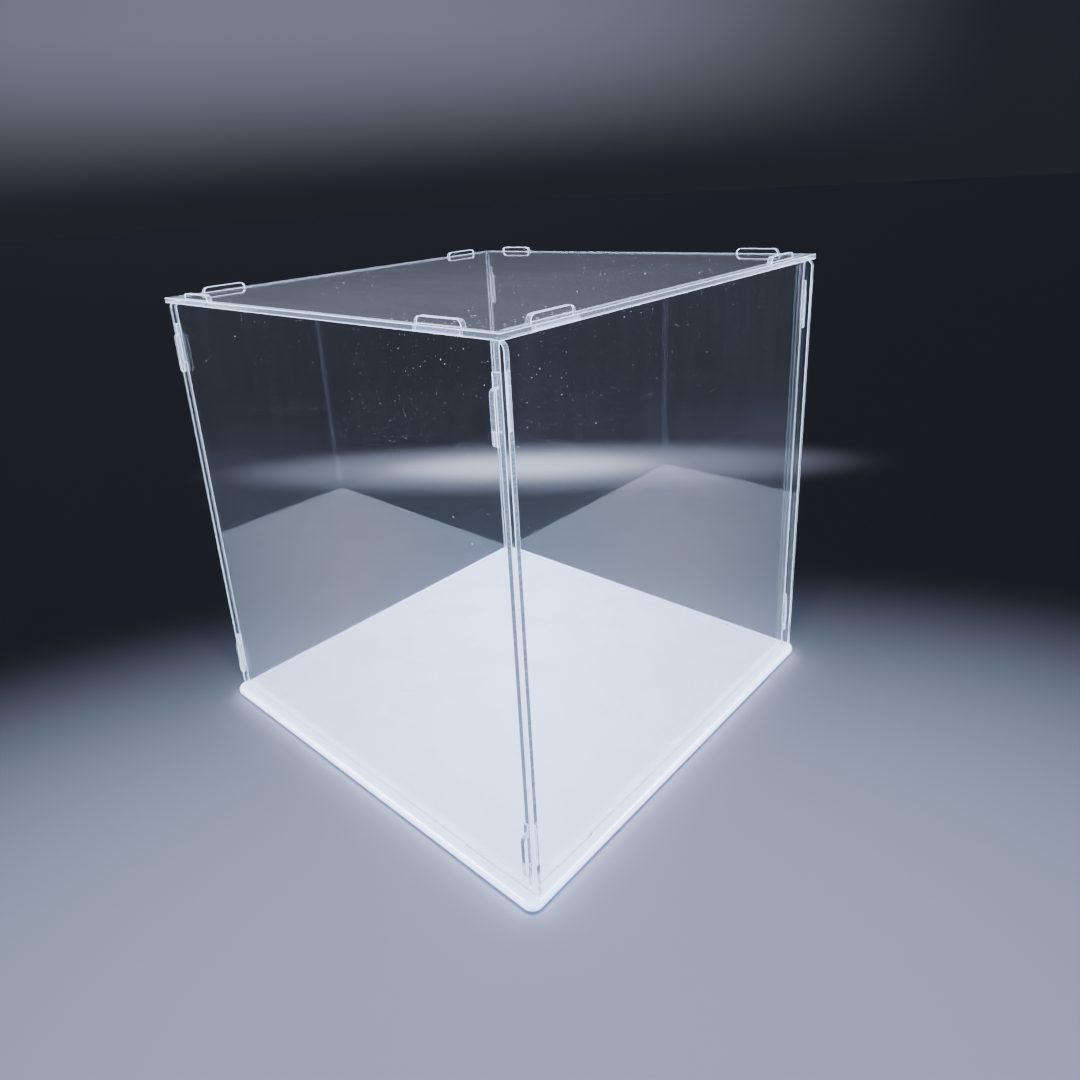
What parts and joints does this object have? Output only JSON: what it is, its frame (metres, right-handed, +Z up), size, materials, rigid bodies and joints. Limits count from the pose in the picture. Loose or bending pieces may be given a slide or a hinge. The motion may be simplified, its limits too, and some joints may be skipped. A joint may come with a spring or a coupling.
{
  "type": "display cube",
  "caption": "Clear square display case: four slip-together walls with tabs and hooks, a slotted lift-off lid and a white base with rounded edges.",
  "frame": {"origin": "centre of the base's underside", "axes": "+Z up; -Y is the front; the slotted walls face -Y and +Y, the hooked walls face -X and +X"},
  "size_m": [0.253, 0.2568, 0.2545],
  "materials": {
    "white_base": "satin moulded white",
    "clear_sheet": "clear acrylic sheet with polished edges"
  },
  "bodies": {
    "base": {"base_plate": "white_base"},
    "slotted_walls": {"front_panel": "clear_sheet", "back_panel": "clear_sheet"},
    "right_wall": {"right_panel": "clear_sheet"},
    "left_wall": {"left_panel": "clear_sheet"},
    "lid": {"top_panel": "clear_sheet"}
  },
  "joints": [
    {"name": "cover_lift", "type": "slide", "parent": "base", "child": "slotted_walls", "axis": [0, 0, 1], "range_m": [0, 0.25]},
    {"name": "right_hook_release", "type": "slide", "parent": "slotted_walls", "child": "right_wall", "axis": [0, 0, 1], "range_m": [0, 0.005]},
    {"name": "left_hook_release", "type": "slide", "parent": "slotted_walls", "child": "left_wall", "axis": [0, 0, 1], "range_m": [0, 0.005]},
    {"name": "lid_lift", "type": "slide", "parent": "right_wall", "child": "lid", "axis": [0, 0, 1], "range_m": [0, 0.08]}
  ],
  "couplings": [
    {"joint": "left_hook_release", "follows": "right_hook_release", "ratio": 1}
  ]
}
